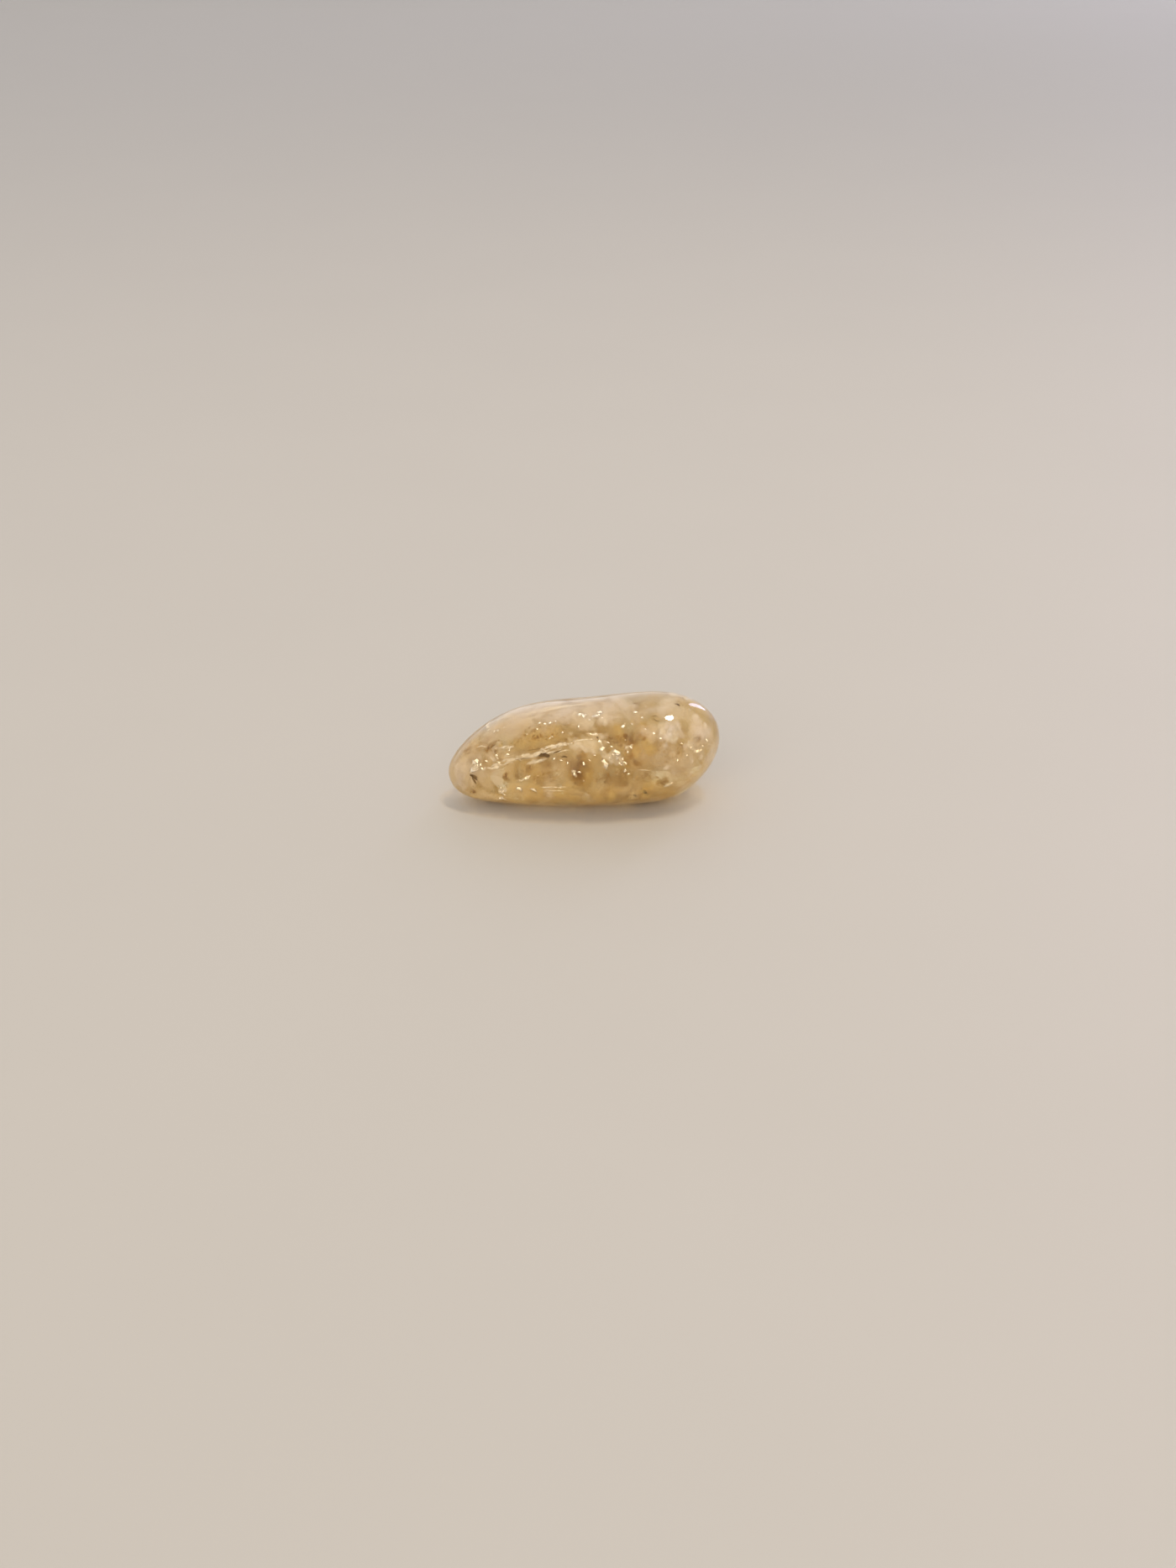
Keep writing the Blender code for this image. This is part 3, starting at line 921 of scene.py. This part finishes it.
fractureSetup = {
    "seed": 51,
    "thickness": 0.02,  # mm
    "steps": 0.2,  # mm along a fracture between two rows of its grid
    "leastRows": 9,
    "columns": 6,
    "reach": 0.05,  # share of the line to either side that tells which way it runs
    "taper": (0.06, 0.88),  # how blunt the ends are, as where a half wave starts and how much of it is used
    "leastEdge": 0.3,
    "leastUpright": 0.35,  # a plate that leans back is made wider, but no more than this allows
    "ragged": {"brightFractures": 0.35, "paleSheets": 0.28, "darkFissures": 0.06},  # how far the edge wanders
    "lift": {"brightFractures": 0.12, "paleSheets": 0.1, "darkFissures": 0.12},  # how far the face waves
    "edgeWaves": [(1.0, 9, 0), (0.7, 23, 0)],
    "faceWaves": [(1.0, 17, 0), (0.6, 31, 5)],
    "ridges": 0.5,  # mm, between the ridges of a crushed wall
    "ridgeRelief": 0.05,  # mm
    "edgeRange": (0.0, 1.0, 0.72, 1.05),  # from and to in fade, then in how whole the wall is
    "wallRange": (0.42, 0.55, 0.05, 1.0),  # from and to in the ridges, then in the share of the wall
    "wallColour": "#fff8ea",
    "wallMetallic": 0.4,
    "wallRoughness": 0.25,
    "patches": 0.9,  # mm, in a healed sheet
    "patchRange": (0.3, 0.6, 0.35, 0.95),  # from and to in the patches, then in how milky the sheet is
    "sheetColour": "#f9f4eb",
    # the dull olive browns of the dark fissures, partly painted shade
    "oliveSpotSize": 0.3,  # mm
    "oliveSpotColours": [(0.35, "#533a08"), (0.7, "#7d601c")],  # where each stands in the noise
    "turnedDown": 0.7,  # how far a dark fissure looks down, away from the lamp
    "bright": {
        # the line it is seen along in mm across and up, its seen width and its depth in mm, and where it
        # isn't seen from the front, how many degrees round from there it is seen
        "longStep": ([(-8.3, -1.31), (-7.25, -1.2), (-6.38, -1.13), (-5.16, -0.97), (-3.94, -0.68),
                      (-3.06, -0.33), (-2.19, -0.03), (-1.14, 0.12)], 0.21, 0.4),
        "longLower": ([(-5.68, -1.99), (-4.98, -1.77), (-4.11, -1.55)], 0.31, 0.45),
        "secondLine": ([(-9.17, -0.42), (-8.56, -0.33), (-7.77, -0.3), (-7.08, -0.21)], 0.21, 0.35),
        "jagged": ([(-10.57, -2.64), (-10.04, -2.44), (-9.52, -2.51), (-9.0, -2.29),
                    (-8.3, -2.16)], 0.24, 0.32),
        "dash": ([(-6.9, -3.77), (-6.38, -3.73), (-6.03, -3.53), (-5.51, -3.21)], 0.23, 0.3),
        "dashRight": ([(-1.27, -2.57), (-1.06, -2.9), (-0.76, -3.39)], 0.24, 0.3),
        "fineLine": ([(-4.55, -4.47), (-3.5, -4.42), (-2.36, -4.45), (-1.67, -4.4)], 0.13, 0.4),
        "finerLine": ([(-4.37, -4.78), (-3.06, -4.82), (-1.84, -4.78)], 0.09, 0.4),
        "wedgeLine": ([(0.34, 1.15), (0.95, 1.02), (1.91, 1.11)], 0.14, 0.66),
        "crownDash": ([(3.74, 1.68), (4.09, 1.94), (4.35, 2.2)], 0.12, 0.4),
        "stepUpper": ([(-4.81, -1.12), (-3.94, -0.94), (-3.06, -0.72), (-2.36, -0.51)], 0.12, 0.45),
        "stepLower": ([(-3.5, -0.94), (-2.71, -0.81), (-1.84, -0.59), (-1.32, -0.64)], 0.1, 0.6),
        "leftCrush": ([(-8.04, -1.73), (-7.43, -1.55), (-6.73, -1.47), (-6.12, -1.55)], 0.21, 0.6),
        "brokenEdge": ([(1.56, 0.54), (1.82, 0.02), (2.0, -0.51)], 0.16, 0.6),
        "brokenDrop": ([(2.87, -0.51), (3.39, -0.94), (3.74, -1.47), (4.18, -2.16)], 0.17, 0.6),
        "rightChip": ([(4.09, -0.59), (4.62, -0.24), (5.05, 0.02)], 0.16, 0.6),
        "longGlow": ([(-4.81, -0.64), (-3.94, -0.38), (-2.89, -0.07), (-1.67, 0.19)], 0.19, 0.45),
        "wedgeTop": ([(-0.97, 0.32), (-0.1, 0.49), (0.95, 0.52)], 0.09, 0.5),
        "noseWhite": ([(-11.27, -1.59), (-11.14, -1.9), (-11.2, -2.29), (-11.32, -2.74)], 0.3, 0.3),
        "endRingLow": ([(10.99, -0.24), (11.6, -0.72), (12.29, -0.51)], 0.3, 0.3),
        "rightSplinters": ([(8.46, 1.59), (8.8, 1.15), (9.15, 0.54)], 0.26, 0.5),
        "backStep": ([(-7.0, -0.8), (-5.2, -0.4), (-3.4, -0.6), (-1.8, -0.1), (-0.4, 0.2)], 0.28, 0.7, 180),
        "backSplit": ([(1.2, 1.4), (2.2, 1.1), (3.6, 1.3), (4.6, 0.9)], 0.2, 0.6, 180),
        "backDash": ([(3.2, -2.2), (4.1, -2.0), (5.0, -1.5)], 0.25, 0.6, 180),
        "backLow": ([(-4.5, -3.8), (-3.2, -3.6), (-2.0, -3.7)], 0.14, 0.6, 180),
        "backNose": ([(8.2, -1.6), (9.3, -1.9), (10.4, -1.7)], 0.2, 0.5, 180),
        "backEnd": ([(-10.6, 0.8), (-9.8, 0.2), (-9.4, -0.7)], 0.25, 0.5, 180),
        "sideEnd": ([(0.6, 0.4), (1.8, 0.1), (3.0, 0.4), (4.0, -0.1)], 0.24, 0.6, 90),
        "sideEndLow": ([(0.8, -2.6), (2.0, -2.3), (2.9, -2.7)], 0.2, 0.6, 90),
        "sideNose": ([(-1.8, -1.6), (-0.6, -2.0), (0.9, -1.8)], 0.2, 0.5, -90),
        "tangleGleam": ([(-9.08, -1.73), (-8.82, -1.82), (-8.56, -2.03)], 0.11, 0.35),
        "tangleGleamTwo": ([(-7.95, -1.77), (-7.51, -1.6), (-6.9, -1.73)], 0.1, 0.35),
        "stepSpark": ([(-5.33, -1.12), (-4.81, -1.03), (-4.28, -0.9)], 0.26, 0.35),
        "stepSparkLow": ([(-5.42, -1.9), (-4.81, -1.75), (-4.28, -1.64)], 0.21, 0.35),
        "patchGleam": ([(-8.82, -4.78), (-8.47, -5.0), (-8.12, -4.78)], 0.16, 0.3),
        # a painted highlight along the bottom edge, drawn as a white crushed wall just inside the polish
        "edgeGleam": ([(-10.31, -5.74), (-9.69, -5.85), (-9.08, -5.92)], 0.11, 0.25),
        "stepWhite": ([(-5.33, -1.17), (-4.81, -0.94), (-4.28, -0.79), (-3.85, -0.59)], 0.26, 0.3),
        "stepWhiteLow": ([(-5.42, -1.95), (-4.98, -1.85), (-4.63, -1.68), (-4.11, -1.59)], 0.23, 0.3),
        "secondWhite": ([(-8.04, -0.38), (-7.6, -0.28), (-7.16, -0.23)], 0.19, 0.3),
        "endDash": ([(11.42, -0.86), (11.77, -0.68), (12.12, -0.55)], 0.16, 0.4),
        "lowDash": ([(8.28, -4.35), (8.63, -4.15), (9.07, -4.03)], 0.23, 0.25),
    },
    "pale": {
        "tongueLow": ([(7.58, 2.11), (8.28, 1.59), (8.89, 0.8), (9.68, 0.28)], 0.61, 0.6),
        "endRingVeil": ([(10.72, 0.45), (10.9, -0.07), (11.34, -0.51), (11.86, -0.68)], 0.26, 0.6),
        "centreVeil": ([(1.47, -0.59), (2.35, -1.2), (3.39, -1.47), (4.27, -2.25)], 0.7, 0.7),
        "backVeil": ([(-4.0, 1.6), (-2.2, 1.2), (0.2, 1.5)], 0.9, 0.8, 180),
        "backTongue": ([(-9.8, 2.0), (-9.0, 0.9), (-8.6, -0.4)], 0.7, 0.7, 180),
        "backDrape": ([(5.5, 1.2), (6.6, 0.2), (8.2, -0.4)], 0.9, 0.7, 180),
        "backStreak": ([(-6.0, -2.2), (-4.2, -2.8), (-2.6, -2.6)], 0.5, 0.8, 180),
        "sideVeil": ([(0.6, 1.4), (2.2, 1.0), (4.0, 1.2)], 0.8, 0.7, 90),
        "sideVeilLow": ([(0.4, -1.2), (1.2, -2.0), (1.8, -3.0)], 0.6, 0.7, 90),
        "noseSideVeil": ([(-1.6, 0.6), (-0.2, 0.1), (1.4, 0.5)], 0.7, 0.6, -90),
        "stepMilk": ([(-7.25, -1.55), (-6.38, -1.42), (-5.33, -1.2), (-3.94, -0.9)], 0.23, 0.5),
        "lowerMilk": ([(-6.03, -2.08), (-5.33, -1.86), (-4.63, -1.73), (-3.76, -1.42)], 0.21, 0.5),
        "tangleOne": ([(-9.69, -1.29), (-9.43, -1.55), (-9.26, -1.82)], 0.1, 0.5),
        "tangleTwo": ([(-9.17, -1.03), (-9.0, -1.29), (-8.82, -1.55)], 0.1, 0.5),
        "tangleThree": ([(-8.56, -1.82), (-8.04, -1.55), (-7.43, -1.47), (-6.82, -1.64)], 0.14, 0.45),
        "tangleFour": ([(-8.39, -2.16), (-7.77, -1.82), (-7.25, -1.9)], 0.12, 0.45),
        "tangleFive": ([(-11.09, -0.33), (-10.57, -0.16), (-9.96, -0.29)], 0.1, 0.5),
        "tangleSix": ([(-9.69, -2.34), (-9.0, -1.99), (-8.21, -2.16)], 0.11, 0.5),
        "paleLine": ([(5.4, -2.67), (6.01, -2.64), (6.62, -2.68), (7.23, -2.66)], 0.07, 0.7),
        "wedge": ([(-1.67, 0.02), (-0.62, 0.06), (0.6, -0.07), (2.17, -0.24)], 0.96, 0.9),
        "rightTongue": ([(8.46, 2.29), (8.89, 1.68), (9.24, 1.06), (9.72, 0.45)], 0.79, 0.6),
        "lowStreak": ([(0.17, -4.87), (0.34, -5.57), (0.51, -6.18)], 0.35, 0.9),
        "leftPatch": ([(-8.82, -5.04), (-8.56, -4.83), (-8.21, -4.69), (-7.95, -4.91)], 0.48, 0.4),
        "leftPatchLow": ([(-8.82, -5.74), (-8.47, -5.52), (-8.12, -5.7)], 0.44, 0.4),
        # these six pale sheets along the crown are healed quartz that also paint the sheen of a pale wall,
        # reflected at a graze
        "upperSheenStreak": ([(-7.25, 2.72), (-4.81, 3.42), (-2.36, 3.94)], 0.35, 0.6),
        "upperSheenStreakLow": ([(-8.3, 1.76), (-6.12, 2.55), (-3.94, 3.07)], 0.26, 0.7),
        "crownSheenColumn": ([(0.43, 4.03), (0.6, 2.98), (0.95, 1.76)], 0.52, 0.8),
        "sheenStreakThree": ([(-4.81, 3.33), (-2.36, 3.86), (0.43, 4.21)], 0.21, 0.5),
        "sheenColumnTwo": ([(1.82, 3.86), (2.0, 2.9), (2.35, 1.85)], 0.44, 0.7),
        "sheenColumnThree": ([(-0.97, 3.51), (-0.88, 2.9), (-0.62, 2.29)], 0.35, 0.7),
    },
    # dull olive marks, partly painted shade
    "dark": {
        "darkLens": ([(-4.59, -1.2), (-4.33, -1.08), (-3.94, -1.1), (-3.54, -1.26)], 0.44, 0.28),
        "darkBits": ([(-2.32, -1.31), (-2.02, -1.25), (-1.71, -1.33)], 0.16, 0.28),
        "noseBranch": ([(-11.53, -3.47), (-11.32, -3.79), (-11.13, -4.08)], 0.1, 0.25),
        "darkBitsUpper": ([(-3.15, -0.91), (-2.8, -0.79), (-2.45, -0.65)], 0.11, 0.3),
        "backLens": ([(-2.6, -1.1), (-2.0, -1.0), (-1.2, -1.1)], 0.28, 0.35, 180),
        "backBits": ([(6.0, -0.8), (6.3, -0.9), (6.6, -1.1)], 0.16, 0.3, 180),
        "backCurl": ([(-8.0, 2.6), (-7.6, 2.8), (-7.1, 2.6)], 0.1, 0.3, 180),
        "backFleck": ([(9.6, 0.4), (9.8, 0.25), (9.9, 0.1)], 0.12, 0.3, 180),
        "sideFleck": ([(2.8, 1.0), (3.1, 0.9), (3.3, 0.7)], 0.14, 0.3, 90),
        "stepShade": ([(-7.08, -1.59), (-6.38, -1.52), (-5.51, -1.41)], 0.04, 0.35),
        "stepShadeUpper": ([(-5.86, -0.68), (-5.07, -0.55), (-4.46, -0.42)], 0.04, 0.35),
        "crownShade": ([(7.19, 2.67), (7.45, 2.39), (7.81, 2.37)], 0.06, 0.4),
        "crownShadeTwo": ([(7.02, 2.84), (7.32, 2.93), (7.67, 2.84)], 0.05, 0.4),
        "noseCrack": ([(-11.75, -3.12), (-11.44, -3.35), (-11.0, -3.68)], 0.19, 0.25),
        "noseCrackUpper": ([(-11.57, -3.14), (-11.27, -3.25), (-11.04, -3.44)], 0.1, 0.3),
        "leftCurl": ([(-9.65, -0.42), (-9.43, -0.21), (-9.17, -0.03)], 0.07, 0.45),
        "crownFleck": ([(9.38, 4.19), (9.68, 4.15), (9.9, 3.94)], 0.19, 0.25),
        "lowFleck": ([(6.14, -4.74), (6.36, -5.0), (6.62, -5.17)], 0.21, 0.25),
        "lowSpeck": ([(5.14, -5.22), (5.45, -5.33)], 0.17, 0.25),
        "midSpeck": ([(1.3, 0.72), (1.47, 0.66)], 0.14, 0.25),
    },
}


def crushedQuartz(setup):
    # quartz that broke in steps: its crushed walls are white and catch the lamp along their ridges.
    # One strip along the bottom edge is a painted highlight.
    material = newMaterial("crushedQuartz")
    place = addNode(material, "TexCoord").outputs["Object"]
    ridges = addNode(material, "TexNoise", {
        "Scale": perSize(setup["ridges"]), "Detail": 4.0, "Roughness": 0.65},
        {"Vector": place})
    fade = addNode(material, "Attribute", attribute_name="fade")
    edge = addNode(material, "MapRange", dict(zip(rangeSockets, setup["edgeRange"])),
                   {"Value": fade.outputs["Fac"]})
    broken = addNode(material, "Math", links={0: ridges, 1: edge}, operation="MULTIPLY")
    share = addNode(material, "MapRange", dict(zip(rangeSockets, setup["wallRange"])), {"Value": broken})
    bump = addNode(material, "Bump", {"Strength": 0.5, "Distance": setup["ridgeRelief"] * mm},
                   {"Height": ridges})
    wall = addNode(material, "BsdfPrincipled", {
        "Base Color": setup["wallColour"], "Metallic": setup["wallMetallic"],
        "Roughness": setup["wallRoughness"]}, {"Normal": bump})
    return finishMaterial(material, partlyClear(material, share, wall))


def healedQuartz(setup):
    # a crack that milky quartz has healed: smooth and soft white, denser in some patches than in others.
    # Those along the crown also paint the sheen of a pale wall seen at a graze.
    material = newMaterial("healedQuartz")
    place = addNode(material, "TexCoord").outputs["Object"]
    patches = addNode(material, "TexNoise", {
        "Scale": perSize(setup["patches"]), "Detail": 4.0, "Roughness": 0.6},
        {"Vector": place})
    share = addNode(material, "MapRange", dict(zip(rangeSockets, setup["patchRange"])), {"Value": patches})
    fade = addNode(material, "Attribute", attribute_name="fade")
    alpha = addNode(material, "Math", links={0: share, 1: fade.outputs["Fac"]}, operation="MULTIPLY")
    glow = softGlow(material, setup["sheetColour"])
    return finishMaterial(material, partlyClear(material, alpha, glow))


def darkOliveQuartz(setup):
    # an open fissure that faces away from the light, painted a dull olive brown in mottled spots: partly
    # painted shade for the dark marks seen in the stone
    material = newMaterial("darkOliveQuartz")
    place = addNode(material, "TexCoord").outputs["Object"]
    oliveSpots = addNode(material, "TexNoise", {"Scale": perSize(setup["oliveSpotSize"]), "Detail": 3.0},
                    {"Vector": place})
    ramp = addNode(material, "ValToRGB", links={"Fac": oliveSpots}, stops=setup["oliveSpotColours"])
    shader = addNode(material, "BsdfPrincipled", {"Roughness": 0.8, "Specular IOR Level": 0.1},
                     {"Base Color": ramp})
    return finishMaterial(material, shader)


def alongLine(line, share):
    # the place this share of the way along a line of seen places
    lengths = [math.dist(a, b) for a, b in zip(line, line[1:])]
    left = share * sum(lengths)
    for (a, b), length in zip(zip(line, line[1:]), lengths):
        if left <= length:
            return [a[i] + (b[i] - a[i]) * left / length for i in range(2)]
        left -= length
    return line[-1]


def makeFractures(name, setup, lines, material):
    # each fracture is a thin plate that runs back into the stone, so that it shows as a narrow strip
    draw = np.random.default_rng(setup["seed"])
    ragged, wave = setup["ragged"][name], setup["lift"][name]
    whole = bmesh.new()
    whole.verts.layers.float.new("fade")
    for line, width, depth, *turned in lines.values():
        turn = turned[0] if turned else 0
        length = sum(math.dist(a, b) for a, b in zip(line, line[1:]))
        rows = max(int(length / setup["steps"]), setup["leastRows"])
        bm = bmesh.new()
        bmesh.ops.create_grid(bm, x_segments=rows, y_segments=setup["columns"], size=0.5)
        fade = bm.verts.layers.float.new("fade")
        phases = draw.uniform(0, 2 * math.pi, 4)
        for vert in bm.verts:
            share = min(max(vert.co.x + 0.5, 0), 1)
            across, up = alongLine(line, share)
            ahead = alongLine(line, min(share + setup["reach"], 1))
            behind = alongLine(line, max(share - setup["reach"], 0))
            point, inward = sealedAt(across, up, depth, turn)
            run = Vector((ahead[0] - behind[0], 0, ahead[1] - behind[1]))
            run = Matrix.Rotation(math.radians(turn), 3, "Z") @ run
            normal = mirrorTo(inward, towardsLamp(point))
            if name == "darkFissures":
                normal = (-inward - setup["turnedDown"] * Vector((0, 0, 1))).normalized()
            side = normal.cross(run).normalized()
            taper = math.sin(math.pi * (setup["taper"][0] + setup["taper"][1] * share)) ** 0.5
            if 0 < share < 1:
                vert[fade] = max(1 - (2 * vert.co.y) ** 2, 0) * math.sin(math.pi * share) ** 0.5
            edge = 1 + ragged * ripple(setup["edgeWaves"], share, phases[:2])
            upright = max(abs(side.dot(Vector((0, 0, 1)))), setup["leastUpright"])
            reach = width * taper * max(edge, setup["leastEdge"]) / upright
            lift = wave * width * ripple(setup["faceWaves"], share, phases[2:], vert.co.y)
            vert.co = point + side * (vert.co.y * reach * mm) + normal * (lift * mm)
        bmesh.ops.recalc_face_normals(bm, faces=bm.faces)
        bmesh.ops.solidify(bm, geom=bm.faces[:], thickness=setup["thickness"] * mm)
        bmesh.ops.recalc_face_normals(bm, faces=bm.faces)
        mesh = bpy.data.meshes.new("fracture")
        bm.to_mesh(mesh)
        bm.free()
        whole.from_mesh(mesh)
        bpy.data.meshes.remove(mesh)
    for vert in whole.verts:
        vert.co = drawnBack(vert.co, sealSetup["crackGap"])
    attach(objectFromBmesh(whole, name, material), "root")


makeFractures("brightFractures", fractureSetup, fractureSetup["bright"], crushedQuartz(fractureSetup))
makeFractures("paleSheets", fractureSetup, fractureSetup["pale"], healedQuartz(fractureSetup))
makeFractures("darkFissures", fractureSetup, fractureSetup["dark"], darkOliveQuartz(fractureSetup))
print("fractures made")
